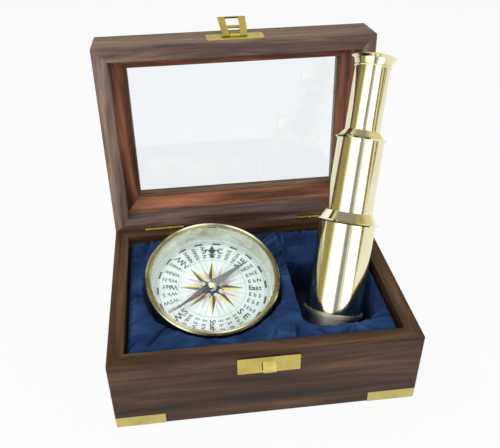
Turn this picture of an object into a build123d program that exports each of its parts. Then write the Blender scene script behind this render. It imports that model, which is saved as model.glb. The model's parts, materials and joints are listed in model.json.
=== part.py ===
from build123d import *
from math import cos, radians, sin, sqrt, tan
import os

# Box. Origin: centre of the underside of the base. +X right, +Y to the hinges, +Z up.
box_width = 140.0
box_depth = 102.4
base_height = 38.7
lid_height = 22.7
wall = 7.3
corner_radius = 0.9
edge_radius = 0.7
rim_gap = 0.2
cut_margin = 1.0
floor_thickness = 4.0
floor_rebate = 3.0

# Hinge line and how far the lid stands open in the rest pose
lid_open_angle = 93.7
hinge_axis_inset = 1.1
hinge_stop_gap_angle = 0.3

# Lid top: frame rails, pane and the sloping beads under it
top_rail_width = 15.0
top_rail_thickness = 4.7
pane_thickness = 2.0
pane_clearance = 0.3
bead_width = 7.3
bead_height_at_wall = 5.0
bead_step = 1.0
bead_land = 0.8

# Butt hinges, let into the back faces
hinge_length = 21.4
hinge_edge_distance = 16.4
hinge_middle_knuckle = 10.5
leaf_height = 8.0
leaf_thickness = 0.8
knuckle_radius = 1.3
hinge_pin_radius = 0.6
running_gap = 0.05
knuckle_side_gap = 0.15
knuckle_recess_gap = 0.2

# Corner straps
strap_length = 22.8
strap_height = 6.0
strap_thickness = 0.8

# Latch plate with its curl, hasp, catch plate with its tongue
plate_thickness = 0.7
latch_plate_width = 28.4
latch_plate_height = 10.2
latch_plate_rim_distance = 1.8
curl_width = 5.0
curl_side_gap = 0.2
curl_opening_height = 2.4
plate_corner_radius = 0.6
hasp_pivot_height = 6.6
hasp_pivot_radius = 0.6
hasp_open_angle = 164.3
hasp_root_width = 12.4
hasp_tip_width = 14.3
hasp_thickness = 0.7
hasp_window_width = 6.6
hasp_slot_side_gap = 0.3
hasp_far_bar = 0.9
hasp_cross_bar = 2.0
hasp_cross_bar_distance = 6.8
hasp_catch_gap = 0.25
catch_plate_width = 28.0
catch_plate_height = 9.2
catch_plate_rim_distance = 2.0
tongue_width = 5.8
tongue_root_drop = 4.6
tongue_length = 5.2
tongue_reach = 3.0
tongue_overlap = 0.8
tongue_lip = 1.2

# Compass, propped in its pocket with the dial turned to the front
compass_radius = 33.0
compass_thickness = 15.0
compass_x = -19.9
compass_y = -1.4
compass_rise = 5.2
compass_tilt = 17.6
compass_lean = 2.7
bezel_wall = 0.8
bezel_lip = 2.6
bezel_lip_thickness = 1.4
bezel_skirt = 4.6
bezel_inner_bead_drop = 0.35
compass_glass_thickness = 1.6
case_wall = 1.0
dial_depth = 12.0
dial_thickness = 0.6
needle_bearing = 55.8
needle_half_length = 23.5
needle_hub_radius = 2.2
needle_thickness = 0.4
needle_height = 3.0
needle_cap_radius = 2.4
needle_cap_height = 0.9
needle_cap_rim_height = 0.6
needle_cap_shoulder = 0.6
pivot_radius = 0.5
pivot_gap = 0.15

# Telescope: place of the beaded ring's centre, leaning back and to the right
ring_x = 38.35
ring_y = -13.5
ring_drop = 14.2
telescope_back_lean = 27.6
telescope_side_lean = 12.3
tube_wall = 0.8
barrel_radius = 13.7
barrel_length = 44.6
ring_rise = 0.9
ring_bead = 0.8
cell_inset = 0.6
cell_length = 7.5
cell_wall = 1.4
lens_thickness = 1.4
barrel_collar_rise = 1.55
draw_1_step = 1.55
draw_1_visible = 35.2
draw_1_collar_rise = 1.2
draw_2_step = 2.02
draw_2_visible = 30.2
collar_bead = 1.4
barrel_collar_cone = 4.1
draw_1_collar_cone = 3.0
stop_ring_length = 4.0
stop_ring_gap = 0.08
eye_cup_length = 5.5
eye_cup_lip_rise = 2.42
eye_cup_lip = 1.3
eye_cup_bead = 1.0
eye_cup_bead_rise = 0.57
eye_cup_foot_rise = 0.25
eye_cup_dish_depth = 1.2
flare_steps = 2
eye_hole_radius = 3.0
eye_lens_thickness = 1.5

# Velvet lining with its pocket and trough
lining_rim_drop = 2.4
lining_side_gap = 0.3
lining_crown = 1.2
lining_edge_roll = 3.6
pocket_gap = 1.0
pocket_floor_gap = 0.3
bolster_width = 5.0
bolster_height = 2.4
trough_side_gap = 2.8
trough_length = 71.0
trough_x = 39.2
trough_corner_radius = 7.0
trough_floor_gap = 0.15

inner_width = box_width - 2 * wall
inner_depth = box_depth - 2 * wall
lid_wall_height = lid_height - top_rail_thickness
hinge_y = box_depth / 2 - hinge_axis_inset
hinge_z = base_height + rim_gap / 2
hinge_x = box_width / 2 - hinge_edge_distance - hinge_length / 2
relief_angle = (lid_open_angle + hinge_stop_gap_angle) / 2

lid_up = Vector(0, sin(radians(lid_open_angle)), cos(radians(lid_open_angle)))
base_axis_frame = Plane(origin=(0, hinge_y, hinge_z))
lid_axis_frame = Plane(origin=(0, hinge_y, hinge_z), x_dir=(1, 0, 0), z_dir=lid_up)
lid_frame = Plane(
    origin=lid_axis_frame.from_local_coords(Vector(0, -hinge_y, rim_gap / 2)),
    x_dir=(1, 0, 0),
    z_dir=lid_up,
)

os.makedirs("parts", exist_ok=True)


def place_in(frame, x, y, z):
    return frame.from_local_coords(Vector(x, y, z))


def front_face(frame):
    """Plane on a front face of the box: local x to the right, y up and z out of the wood."""
    return Plane(
        origin=place_in(frame, 0, -box_depth / 2, 0),
        x_dir=frame.x_dir,
        z_dir=frame.y_dir * -1,
    )


base_front_face = front_face(Plane.XY)
lid_front_face = front_face(lid_frame)


def radial_plane(frame):
    """Plane through a frame's axis for turned profiles: x is the radius, y runs along the axis."""
    return Plane(origin=frame.origin, x_dir=frame.x_dir, z_dir=frame.y_dir * -1)


def axis_of(frame):
    return Axis(frame.origin, frame.z_dir)


def turned(frame, points):
    """Solid turned round a frame's axis from a closed profile of (radius, height) points."""
    with BuildPart() as piece:
        with BuildSketch(radial_plane(frame)):
            with BuildLine():
                Polyline(*points, close=True)
            make_face()
        revolve(axis=axis_of(frame))
    return piece.part


def at(frame, x, y, z):
    """Location in a frame's own coordinates."""
    return Locations(frame.location * Location((x, y, z)))


def finish(piece, name):
    piece.part.label = name
    export_step(piece.part, f"parts/{name}.step")


# Mitred woodwork
side_turn = {"front": 0, "right": 90, "back": 180, "left": 270}


def mitred_side(frame, side, profile, width, depth, height, outer_radius=0.0):
    """One side of a mitred frame: a profile run along the side, cut at 45 degrees at both ends."""
    along_x = side in ("front", "back")
    run = width if along_x else depth
    half = (depth if along_x else width) / 2
    side_frame = frame.moved(Location((0, 0, 0), (0, 0, side_turn[side])))
    profile_plane = Plane(
        origin=place_in(side_frame, -run / 2, -half, 0),
        x_dir=side_frame.y_dir,
        z_dir=side_frame.x_dir,
    )
    mitre = min(half, run / 2) - cut_margin
    with BuildPart() as piece:
        with BuildSketch(profile_plane):
            add(profile)
        extrude(amount=run)
        with BuildSketch(side_frame):
            with BuildLine():
                Polyline(
                    (-run / 2, -half),
                    (run / 2, -half),
                    (run / 2 - mitre, mitre - half),
                    (mitre - run / 2, mitre - half),
                    close=True,
                )
            make_face()
        extrude(amount=height, mode=Mode.INTERSECT)
        if outer_radius:
            with BuildSketch(frame):
                RectangleRounded(width, depth, outer_radius)
            extrude(amount=height, mode=Mode.INTERSECT)
    return piece.part


def wall_board(height, rounded_ends, rebate=0.0):
    """Section of a wall: x from the outer face inwards, y up, with softened outer edges."""
    with BuildSketch() as section:
        Rectangle(wall, height, align=(Align.MIN, Align.MIN))
        outer_corners = section.vertices().group_by(Axis.X)[0].sort_by(Axis.Y)
        fillet([outer_corners[end] for end in rounded_ends], edge_radius)
        if rebate:
            with Locations((wall - rebate, 0)):
                Rectangle(rebate, floor_thickness, align=(Align.MIN, Align.MIN), mode=Mode.SUBTRACT)
    return section.sketch


bottom_end, top_end = 0, -1
base_profile = wall_board(base_height, (bottom_end, top_end), floor_rebate)
lid_profile = wall_board(lid_wall_height, (bottom_end,))

with BuildSketch() as top_rail_profile:
    Rectangle(top_rail_width, top_rail_thickness, align=(Align.MIN, Align.MIN))
    corners = top_rail_profile.vertices().group_by(Axis.Y)[-1]
    fillet(corners, edge_radius)

bead_bottom = lid_wall_height - pane_thickness - bead_height_at_wall
bead_inner_edge = bead_bottom + bead_height_at_wall - bead_land
with BuildSketch() as bead_profile:
    with BuildLine():
        Polyline(
            (0, bead_bottom),
            (bead_step, bead_bottom),
            (bead_width - bead_step, bead_inner_edge),
            (bead_width, bead_inner_edge),
            (bead_width, bead_inner_edge + bead_land),
            (0, bead_inner_edge + bead_land),
            close=True,
        )
    make_face()


def hinge_relief(frame, up):
    """Prism that takes the rear rim corner away, so that the open lid stops on the sloping faces."""
    reach = hinge_axis_inset + cut_margin
    section_plane = Plane(origin=place_in(frame, -box_width, 0, 0), x_dir=frame.y_dir, z_dir=frame.x_dir)
    with BuildPart() as relief:
        with BuildSketch(section_plane):
            with BuildLine():
                Polyline(
                    (0, 0),
                    (reach, up * reach * tan(radians(relief_angle))),
                    (reach, -up * reach),
                    (0, -up * reach),
                    close=True,
                )
            make_face()
        extrude(amount=2 * box_width)
    return relief.part


def hinge_recess(frame, centre_x):
    """Space that one leaf and the whole knuckle take out of a back wall."""
    recess_radius = knuckle_radius + knuckle_recess_gap
    recess_length = hinge_length + 2 * knuckle_side_gap
    with BuildPart() as recess:
        with at(frame, centre_x, hinge_axis_inset - leaf_thickness, 0):
            leaf_align = (Align.CENTER, Align.MIN, Align.CENTER)
            Box(hinge_length, leaf_thickness + cut_margin, 2 * leaf_height, align=leaf_align)
        with at(frame, centre_x, 0, 0):
            Cylinder(recess_radius, recess_length, rotation=(0, 90, 0))
    return recess.part


# Corner straps: right-angled strips, flush with the wood at the bottom of each corner
strap_corners = {
    "front_left": (-1, -1),
    "front_right": (1, -1),
    "rear_left": (-1, 1),
    "rear_right": (1, 1),
}
straps = {}
for corner, (side_x, side_y) in strap_corners.items():
    with BuildPart() as strap:
        with BuildSketch():
            RectangleRounded(box_width, box_depth, corner_radius)
            inside = (box_width - 2 * strap_thickness, box_depth - 2 * strap_thickness)
            Rectangle(*inside, mode=Mode.SUBTRACT)
        extrude(amount=strap_height)
        strap_x = side_x * (box_width - strap_length) / 2
        strap_y = side_y * (box_depth - strap_length) / 2
        with BuildSketch():
            with Locations((strap_x, strap_y)):
                Rectangle(strap_length, strap_length)
        extrude(amount=strap_height, mode=Mode.INTERSECT)
    finish(strap, f"corner_strap_{corner}")
    straps[corner] = strap.part

# Base walls
base_relief = hinge_relief(base_axis_frame, -1)
for side in side_turn:
    with BuildPart() as base_wall:
        add(mitred_side(Plane.XY, side, base_profile, box_width, box_depth, base_height, corner_radius))
        for corner, strap in straps.items():
            if side in corner.replace("rear", "back"):
                add(strap, mode=Mode.SUBTRACT)
        if side != "front":
            add(base_relief, mode=Mode.SUBTRACT)
        if side == "back":
            for hinge_side in (-1, 1):
                add(hinge_recess(base_axis_frame, hinge_side * hinge_x), mode=Mode.SUBTRACT)
    finish(base_wall, f"base_{side}_wall")

with BuildPart() as base_floor:
    with BuildSketch():
        Rectangle(inner_width + 2 * floor_rebate, inner_depth + 2 * floor_rebate)
    extrude(amount=floor_thickness)
finish(base_floor, "base_floor")

# Lid walls, top rails, pane and beads, all in the open lid's own frame
lid_relief = hinge_relief(lid_axis_frame, 1)
for side in side_turn:
    with BuildPart() as lid_wall:
        add(mitred_side(lid_frame, side, lid_profile, box_width, box_depth, lid_wall_height, corner_radius))
        if side != "front":
            add(lid_relief, mode=Mode.SUBTRACT)
        if side == "back":
            for hinge_side in (-1, 1):
                add(hinge_recess(lid_axis_frame, hinge_side * hinge_x), mode=Mode.SUBTRACT)
    finish(lid_wall, f"lid_{side}_wall")

top_frame = lid_frame.offset(lid_wall_height)
for side in side_turn:
    with BuildPart() as top_rail:
        add(mitred_side(
            top_frame, side, top_rail_profile.sketch, box_width, box_depth, top_rail_thickness, corner_radius
        ))
    finish(top_rail, f"lid_top_{side}_rail")

for side in side_turn:
    with BuildPart() as glass_bead:
        add(mitred_side(
            lid_frame, side, bead_profile.sketch, inner_width, inner_depth, lid_wall_height
        ))
    finish(glass_bead, f"glass_bead_{side}")

with BuildPart() as lid_glass:
    with BuildSketch(lid_frame.offset(lid_wall_height - pane_thickness)):
        Rectangle(inner_width - 2 * pane_clearance, inner_depth - 2 * pane_clearance)
    extrude(amount=pane_thickness)
finish(lid_glass, "lid_glass")

# Hinges: the base leaf has the outer knuckles and the pin fixed in them, the lid leaf the middle one
middle_half = hinge_middle_knuckle / 2
outer_knuckle = (hinge_length - hinge_middle_knuckle) / 2
outer_centre = middle_half + outer_knuckle / 2
base_knuckles = [
    (-outer_centre - knuckle_side_gap / 2, outer_knuckle - knuckle_side_gap),
    (outer_centre + knuckle_side_gap / 2, outer_knuckle - knuckle_side_gap),
]
lid_knuckles = [(0, hinge_middle_knuckle)]
along_hinge = (0, 90, 0)


def hinge_leaf(frame, centre_x, up, own_knuckles, other_knuckles):
    """Flat leaf with its own knuckles on the hinge axis and room for the other leaf's."""
    clear_radius = knuckle_radius + knuckle_recess_gap
    leaf_end = Align.MIN if up > 0 else Align.MAX
    with BuildPart() as leaf:
        with at(frame, centre_x, hinge_axis_inset, 0):
            Box(hinge_length, leaf_thickness, leaf_height, align=(Align.CENTER, Align.MAX, leaf_end))
        add(hinge_relief(frame, up), mode=Mode.SUBTRACT)
        for x, length in other_knuckles:
            with at(frame, centre_x + x, 0, 0):
                clear_length = length + 2 * knuckle_side_gap
                Cylinder(clear_radius, clear_length, rotation=along_hinge, mode=Mode.SUBTRACT)
        for x, length in own_knuckles:
            with at(frame, centre_x + x, 0, 0):
                Cylinder(knuckle_radius, length, rotation=along_hinge)
    return leaf.part


for hand, hinge_side in (("left", -1), ("right", 1)):
    centre_x = hinge_side * hinge_x
    with BuildPart() as base_leaf:
        add(hinge_leaf(base_axis_frame, centre_x, -1, base_knuckles, lid_knuckles))
        with at(base_axis_frame, centre_x, 0, 0):
            Cylinder(hinge_pin_radius, hinge_length, rotation=along_hinge)
    finish(base_leaf, f"hinge_base_leaf_{hand}")
    with BuildPart() as lid_leaf:
        add(hinge_leaf(lid_axis_frame, centre_x, 1, lid_knuckles, base_knuckles))
        with at(lid_axis_frame, centre_x, 0, 0):
            bore = hinge_pin_radius + running_gap
            Cylinder(bore, hinge_length, rotation=along_hinge, mode=Mode.SUBTRACT)
    finish(lid_leaf, f"hinge_lid_leaf_{hand}")

latch_plate_middle = latch_plate_rim_distance + latch_plate_height / 2
catch_plate_middle = base_height - catch_plate_rim_distance - catch_plate_height / 2

# Latch plate: a surface plate whose middle is rolled into a curl that holds the hasp
curl_inner = hasp_pivot_radius + running_gap
curl_outer = curl_inner + plate_thickness
hasp_axis_out = plate_thickness + curl_inner
curl_section = Plane(
    origin=place_in(lid_front_face, -curl_width / 2, hasp_pivot_height, hasp_axis_out),
    x_dir=lid_front_face.z_dir * -1,
    z_dir=lid_front_face.x_dir,
)
with BuildPart() as latch_plate:
    with BuildSketch(lid_front_face):
        with Locations((0, latch_plate_middle)):
            RectangleRounded(latch_plate_width, latch_plate_height, plate_corner_radius)
        with Locations((0, hasp_pivot_height + curl_outer)):
            opening = (curl_width + 2 * curl_side_gap, curl_opening_height)
            Rectangle(*opening, align=(Align.CENTER, Align.MIN), mode=Mode.SUBTRACT)
    extrude(amount=plate_thickness)
    with BuildSketch(curl_section):
        Circle(curl_outer)
        Circle(curl_inner, mode=Mode.SUBTRACT)
    extrude(amount=curl_width)
finish(latch_plate, "latch_plate")

# Catch plate: its tongue is cut on three sides and pushed out into a sloping hook
tongue_root = base_height - tongue_root_drop
tongue_tip = tongue_root - tongue_length
tongue_section = Plane(
    origin=place_in(base_front_face, -tongue_width / 2, 0, 0),
    x_dir=base_front_face.z_dir,
    z_dir=base_front_face.x_dir * -1,
)
with BuildPart() as catch_plate:
    with BuildSketch(base_front_face):
        with Locations((0, catch_plate_middle)):
            RectangleRounded(catch_plate_width, catch_plate_height, plate_corner_radius)
        with Locations((0, tongue_root)):
            opening = (tongue_width + 2 * curl_side_gap, tongue_root - tongue_tip)
            Rectangle(*opening, align=(Align.CENTER, Align.MAX), mode=Mode.SUBTRACT)
    extrude(amount=plate_thickness)
    with BuildSketch(tongue_section):
        with BuildLine():
            FilletPolyline(
                (plate_thickness / 2, tongue_root + tongue_overlap),
                (plate_thickness / 2, tongue_root),
                (plate_thickness / 2 + tongue_reach, tongue_tip + tongue_lip),
                (plate_thickness / 2 + tongue_reach - tongue_lip, tongue_tip + plate_thickness / 2),
                radius=plate_thickness,
            )
        trace(line_width=plate_thickness)
    extrude(amount=-tongue_width)
finish(catch_plate, "catch_plate")

# Hasp: flat frame, drawn in its own plane with y from the pivot to the far bar
latched_pivot_height = base_height + rim_gap + hasp_pivot_height
hasp_window_end = latched_pivot_height - tongue_tip + hasp_catch_gap
hasp_length = hasp_window_end + hasp_far_bar
hasp_origin = place_in(lid_front_face, 0, hasp_pivot_height, hasp_axis_out)
hasp_turn = radians(hasp_open_angle)
hasp_frame = Plane(
    origin=hasp_origin,
    x_dir=lid_frame.x_dir,
    z_dir=lid_frame.y_dir * cos(hasp_turn) - lid_frame.z_dir * sin(hasp_turn),
)
hasp_slot_width = curl_width + 2 * hasp_slot_side_gap
with BuildPart() as latch_hasp:
    with BuildSketch(hasp_frame.offset(-hasp_thickness / 2)) as outline:
        with BuildLine():
            Polyline(
                (-hasp_root_width / 2, 0),
                (hasp_root_width / 2, 0),
                (hasp_tip_width / 2, hasp_length),
                (-hasp_tip_width / 2, hasp_length),
                close=True,
            )
        make_face()
        fillet(outline.vertices().group_by(Axis.Y)[-1], hasp_far_bar)
        with Locations((0, hasp_cross_bar_distance + hasp_cross_bar)):
            window = (hasp_window_width, hasp_window_end - hasp_cross_bar_distance - hasp_cross_bar)
            Rectangle(*window, align=(Align.CENTER, Align.MIN), mode=Mode.SUBTRACT)
        Rectangle(
            hasp_slot_width,
            hasp_cross_bar_distance,
            align=(Align.CENTER, Align.MIN),
            mode=Mode.SUBTRACT,
        )
    extrude(amount=hasp_thickness)
    with BuildSketch(Plane(
        origin=place_in(hasp_frame, -hasp_root_width / 2, 0, 0),
        x_dir=hasp_frame.y_dir,
        z_dir=hasp_frame.x_dir,
    )):
        Circle(hasp_pivot_radius)
    extrude(amount=hasp_root_width)
finish(latch_hasp, "latch_hasp")

# Compass: local z runs up out of the dial, with zero at the top of the bezel
tilt = radians(compass_tilt)
lean = radians(compass_lean)
compass_frame = Plane(
    origin=(compass_x, compass_y, base_height + compass_rise),
    x_dir=(1, 0, 0),
    z_dir=(sin(lean), -sin(tilt) * cos(lean), cos(tilt) * cos(lean)),
)
case_outer = compass_radius - bezel_wall
case_inner = case_outer - case_wall
glass_top = -bezel_lip_thickness
glass_bottom = glass_top - compass_glass_thickness
dial_top = -dial_depth
dial_bottom = dial_top - dial_thickness
case_bottom = -compass_thickness

# The case is a shallow dish: the dial lies on its floor and the glass on its rim
with BuildPart() as compass_case:
    add(turned(compass_frame, [
        (0, dial_bottom),
        (case_inner, dial_bottom),
        (case_inner, glass_bottom),
        (case_outer, glass_bottom),
        (case_outer, case_bottom),
        (0, case_bottom),
    ]))
finish(compass_case, "compass_case")

# The bezel has two raised rings, the inner one lower, with a groove between them
bezel_opening = compass_radius - bezel_lip
ring_step = bezel_lip / 4
with BuildPart() as compass_bezel:
    add(turned(compass_frame, [
        (bezel_opening, glass_top),
        (bezel_opening, -ring_step),
        (bezel_opening + ring_step, -bezel_inner_bead_drop),
        (bezel_opening + 2 * ring_step, -ring_step),
        (bezel_opening + 3 * ring_step, 0),
        (compass_radius, -ring_step),
        (compass_radius, -bezel_skirt),
        (case_outer, -bezel_skirt),
        (case_outer, glass_top),
    ]))
finish(compass_bezel, "compass_bezel")

with BuildPart() as compass_glass:
    with BuildSketch(compass_frame.offset(glass_bottom)):
        Circle(case_outer - running_gap)
    extrude(amount=compass_glass_thickness)
finish(compass_glass, "compass_glass")

with BuildPart() as compass_dial:
    with BuildSketch(compass_frame.offset(dial_bottom)):
        Circle(case_inner)
    extrude(amount=dial_thickness)
finish(compass_dial, "compass_dial")

needle_bottom = dial_top + needle_height
needle_top = needle_bottom + needle_thickness
needle_hole_radius = pivot_radius + pivot_gap
with BuildPart() as needle_pivot:
    with BuildSketch(compass_frame.offset(dial_top)):
        Circle(pivot_radius)
    extrude(amount=needle_top - dial_top)
finish(needle_pivot, "needle_pivot")

bearing = radians(needle_bearing)
needle_frame = Plane(
    origin=compass_frame.origin,
    x_dir=compass_frame.x_dir * cos(bearing) - compass_frame.y_dir * sin(bearing),
    z_dir=compass_frame.z_dir,
)
with BuildPart() as compass_needle:
    with BuildSketch(needle_frame.offset(needle_bottom)):
        with BuildLine():
            Polyline(
                (0, -needle_half_length),
                (needle_hub_radius, 0),
                (0, needle_half_length),
                (-needle_hub_radius, 0),
                close=True,
            )
        make_face()
        Circle(needle_hub_radius)
        Circle(needle_hole_radius, mode=Mode.SUBTRACT)
    extrude(amount=needle_thickness)
finish(compass_needle, "compass_needle")

with BuildPart() as needle_cap:
    add(turned(compass_frame, [
        (0, needle_top),
        (needle_cap_radius, needle_top),
        (needle_cap_radius - needle_cap_shoulder, needle_top + needle_cap_rim_height),
        (0, needle_top + needle_cap_height),
    ]))
finish(needle_cap, "needle_cap")

# Telescope: local z runs from the beaded ring to the eye cup, drawn out to its full length
back_lean = radians(telescope_back_lean)
side_lean = radians(telescope_side_lean)
telescope_frame = Plane(
    origin=(ring_x, ring_y, base_height - ring_drop),
    x_dir=(1, 0, 0),
    z_dir=(sin(side_lean), sin(back_lean) * cos(side_lean), cos(back_lean) * cos(side_lean)),
)
ring_radius = barrel_radius + ring_rise
cell_radius = barrel_radius - cell_inset
cell_opening_radius = cell_radius - cell_wall
barrel_bore = barrel_radius - tube_wall
barrel_collar_radius = barrel_radius + barrel_collar_rise
draw_1_radius = barrel_bore - draw_1_step
draw_1_bore = draw_1_radius - tube_wall
draw_1_collar_radius = draw_1_radius + draw_1_collar_rise
draw_2_radius = draw_1_bore - draw_2_step
draw_2_bore = draw_2_radius - tube_wall
eye_cup_lip_radius = draw_2_radius + eye_cup_lip_rise
eye_cup_bead_radius = draw_2_radius + eye_cup_bead_rise
cell_foot = -cell_length
draw_1_foot = barrel_length - stop_ring_length
draw_1_head = barrel_length + collar_bead + barrel_collar_cone + draw_1_visible
draw_2_foot = draw_1_head - stop_ring_length
draw_2_head = draw_1_head + collar_bead + draw_1_collar_cone + draw_2_visible


def collar(seat, cone, flange_radius, inner_radius):
    """Profile of a collar from its seat, over the bead and the cone, down its bore to the seat."""
    bore = inner_radius + running_gap
    bead = collar_bead / 2
    return [
        (flange_radius - bead, seat),
        (flange_radius, seat + bead),
        (flange_radius - 2 * bead, seat + collar_bead),
        (bore, seat + collar_bead + cone),
        (bore, seat),
    ]


def draw_foot(foot, bore, stop_radius, radius):
    """Profile of a draw tube's foot: its bore, the stop ring round it and the step to the tube."""
    return [
        (bore, foot),
        (stop_radius, foot),
        (stop_radius, foot + stop_ring_length),
        (radius, foot + stop_ring_length),
    ]


def disc(foot, radius, thickness):
    with BuildPart() as piece:
        with BuildSketch(telescope_frame.offset(foot)):
            Circle(radius)
        extrude(amount=thickness)
    return piece.part


# The collar on each mouth guides the next draw and holds its stop ring back
with BuildPart() as telescope_barrel:
    add(turned(
        telescope_frame,
        [(barrel_bore, ring_bead), (barrel_radius, ring_bead), (barrel_radius, barrel_length)]
        + collar(barrel_length, barrel_collar_cone, barrel_collar_radius, draw_1_radius)
        + [(barrel_bore, barrel_length)],
    ))
finish(telescope_barrel, "telescope_barrel")

with BuildPart() as objective_cell:
    add(turned(telescope_frame, [
        (cell_opening_radius, cell_foot),
        (cell_radius, cell_foot),
        (cell_radius, -ring_bead),
        (ring_radius, -ring_bead),
        (ring_radius, ring_bead),
        (cell_opening_radius, ring_bead),
    ]))
finish(objective_cell, "objective_cell")

with BuildPart() as objective_lens:
    add(disc(ring_bead, barrel_bore, lens_thickness))
finish(objective_lens, "objective_lens")

with BuildPart() as draw_1_tube:
    add(turned(
        telescope_frame,
        draw_foot(draw_1_foot, draw_1_bore, barrel_bore - stop_ring_gap, draw_1_radius)
        + [(draw_1_radius, draw_1_head)]
        + collar(draw_1_head, draw_1_collar_cone, draw_1_collar_radius, draw_2_radius)
        + [(draw_1_bore, draw_1_head)],
    ))
finish(draw_1_tube, "draw_1_tube")

with BuildPart() as draw_2_tube:
    add(turned(
        telescope_frame,
        draw_foot(draw_2_foot, draw_2_bore, draw_1_bore - stop_ring_gap, draw_2_radius)
        + [(draw_2_radius, draw_2_head), (draw_2_bore, draw_2_head)],
    ))
finish(draw_2_tube, "draw_2_tube")

# Eye cup: a bead at its foot, a hollow flare to a thick lip, and a dished face with the eye hole
cup_neck = draw_2_radius + eye_cup_foot_rise
flare_foot = draw_2_head + eye_cup_bead
flare_reach = eye_cup_lip_radius - cup_neck
flare_height = eye_cup_length - eye_cup_lip / 2 - eye_cup_bead
flare = []
for step in range(flare_steps + 1):
    turn = radians(90 * step / flare_steps)
    flare.append((cup_neck + flare_reach * (1 - cos(turn)), flare_foot + flare_height * sin(turn)))
eye_cup_head = draw_2_head + eye_cup_length
with BuildPart() as eye_cup:
    add(turned(
        telescope_frame,
        [
            (eye_hole_radius, draw_2_head),
            (cup_neck, draw_2_head),
            (eye_cup_bead_radius, draw_2_head + eye_cup_bead / 2),
        ]
        + flare
        + [
            (eye_cup_lip_radius - eye_cup_lip, eye_cup_head),
            (eye_cup_lip_radius - eye_cup_lip, eye_cup_head - eye_cup_dish_depth),
            (eye_hole_radius, eye_cup_head - eye_cup_dish_depth),
        ],
    ))
finish(eye_cup, "eye_cup")

with BuildPart() as eye_lens:
    add(disc(draw_2_head - eye_lens_thickness, draw_2_bore, eye_lens_thickness))
finish(eye_lens, "eye_lens")

# Velvet lining: a padded insert with a tilted pocket for the compass and a trough for the telescope
cell_foot_centre = place_in(telescope_frame, 0, 0, cell_foot)
cell_lowest = cell_foot_centre.Z - cell_radius * sqrt(1 - telescope_frame.z_dir.Z ** 2)
trough_floor = cell_lowest - trough_floor_gap
trough_width = 2 * (ring_radius + trough_side_gap)
lining_top = base_height - lining_rim_drop
lining_width = inner_width - 2 * lining_side_gap
lining_depth = inner_depth - 2 * lining_side_gap
pocket_radius = compass_radius + pocket_gap
pocket_floor = case_bottom - pocket_floor_gap


def padding(section_plane, span, length):
    """Bar with a flat foot, rolled upper edges and a low crown across its span."""
    shoulder = lining_top - lining_crown
    roll = lining_edge_roll
    inset = roll * (1 - sqrt(0.5))
    half = span / 2
    with BuildPart() as bar:
        with BuildSketch(section_plane):
            with BuildLine():
                Polyline(
                    (-half, shoulder - roll),
                    (-half, floor_thickness),
                    (half, floor_thickness),
                    (half, shoulder - roll),
                )
                ThreePointArc(
                    (half, shoulder - roll), (half - inset, shoulder - inset), (half - roll, shoulder)
                )
                ThreePointArc((half - roll, shoulder), (0, lining_top), (roll - half, shoulder))
                ThreePointArc(
                    (roll - half, shoulder), (inset - half, shoulder - inset), (-half, shoulder - roll)
                )
            make_face()
        extrude(amount=length / 2, both=True)
    return bar.part


with BuildPart() as padded_block:
    add(padding(Plane.XZ, lining_width, lining_depth))
    add(padding(Plane.YZ, lining_depth, lining_width), mode=Mode.INTERSECT)

# The bolster is the padding that rises behind the compass and carries its raised rear edge
with BuildPart() as velvet_lining:
    add(turned(compass_frame, [
        (0, pocket_floor + bolster_height),
        (pocket_radius + bolster_width / 2, pocket_floor + bolster_height),
        (pocket_radius + bolster_width, pocket_floor),
        (pocket_radius + bolster_width, pocket_floor - bolster_width),
        (0, pocket_floor - bolster_width),
    ]))
    with BuildSketch(Plane.XY.offset(floor_thickness)):
        Rectangle(lining_width, lining_depth)
    extrude(amount=base_height, mode=Mode.INTERSECT)
    add(padded_block.part)
    with BuildSketch(Plane.XY.offset(trough_floor)):
        with Locations((trough_x, 0)):
            RectangleRounded(trough_width, trough_length, trough_corner_radius)
    extrude(amount=base_height, mode=Mode.SUBTRACT)
    with BuildSketch(compass_frame.offset(pocket_floor)):
        Circle(pocket_radius)
    extrude(amount=base_height, mode=Mode.SUBTRACT)
finish(velvet_lining, "velvet_lining")
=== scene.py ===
import json
from math import cos, pi, radians, sin

import bmesh
import bpy
import numpy as np
from mathutils import Matrix, Vector, noise


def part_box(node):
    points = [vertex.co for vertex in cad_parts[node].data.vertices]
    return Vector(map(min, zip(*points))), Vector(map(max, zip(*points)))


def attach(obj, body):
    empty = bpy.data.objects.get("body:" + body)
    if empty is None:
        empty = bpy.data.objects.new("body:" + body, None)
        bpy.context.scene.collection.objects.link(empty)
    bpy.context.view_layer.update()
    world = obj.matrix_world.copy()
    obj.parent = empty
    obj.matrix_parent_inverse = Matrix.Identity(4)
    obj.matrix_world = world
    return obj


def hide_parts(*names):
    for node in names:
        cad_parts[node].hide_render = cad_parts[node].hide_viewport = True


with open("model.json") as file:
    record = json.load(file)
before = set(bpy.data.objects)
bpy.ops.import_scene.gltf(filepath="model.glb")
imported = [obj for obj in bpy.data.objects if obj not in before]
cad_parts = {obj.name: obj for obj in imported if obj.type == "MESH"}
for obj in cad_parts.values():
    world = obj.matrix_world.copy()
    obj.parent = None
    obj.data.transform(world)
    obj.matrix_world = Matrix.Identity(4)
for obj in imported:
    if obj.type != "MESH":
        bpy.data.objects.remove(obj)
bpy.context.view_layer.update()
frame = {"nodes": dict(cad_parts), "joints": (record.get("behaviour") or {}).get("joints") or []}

MM = 0.001
nodes = frame["nodes"]
joints = {joint["name"]: joint for joint in frame["joints"]}


# Places worked out from the frame

def joint_point(name):
    return Vector(joints[name]["pos_m"])


def joint_axis(name):
    return Vector(joints[name]["axis"]).normalized()


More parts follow.
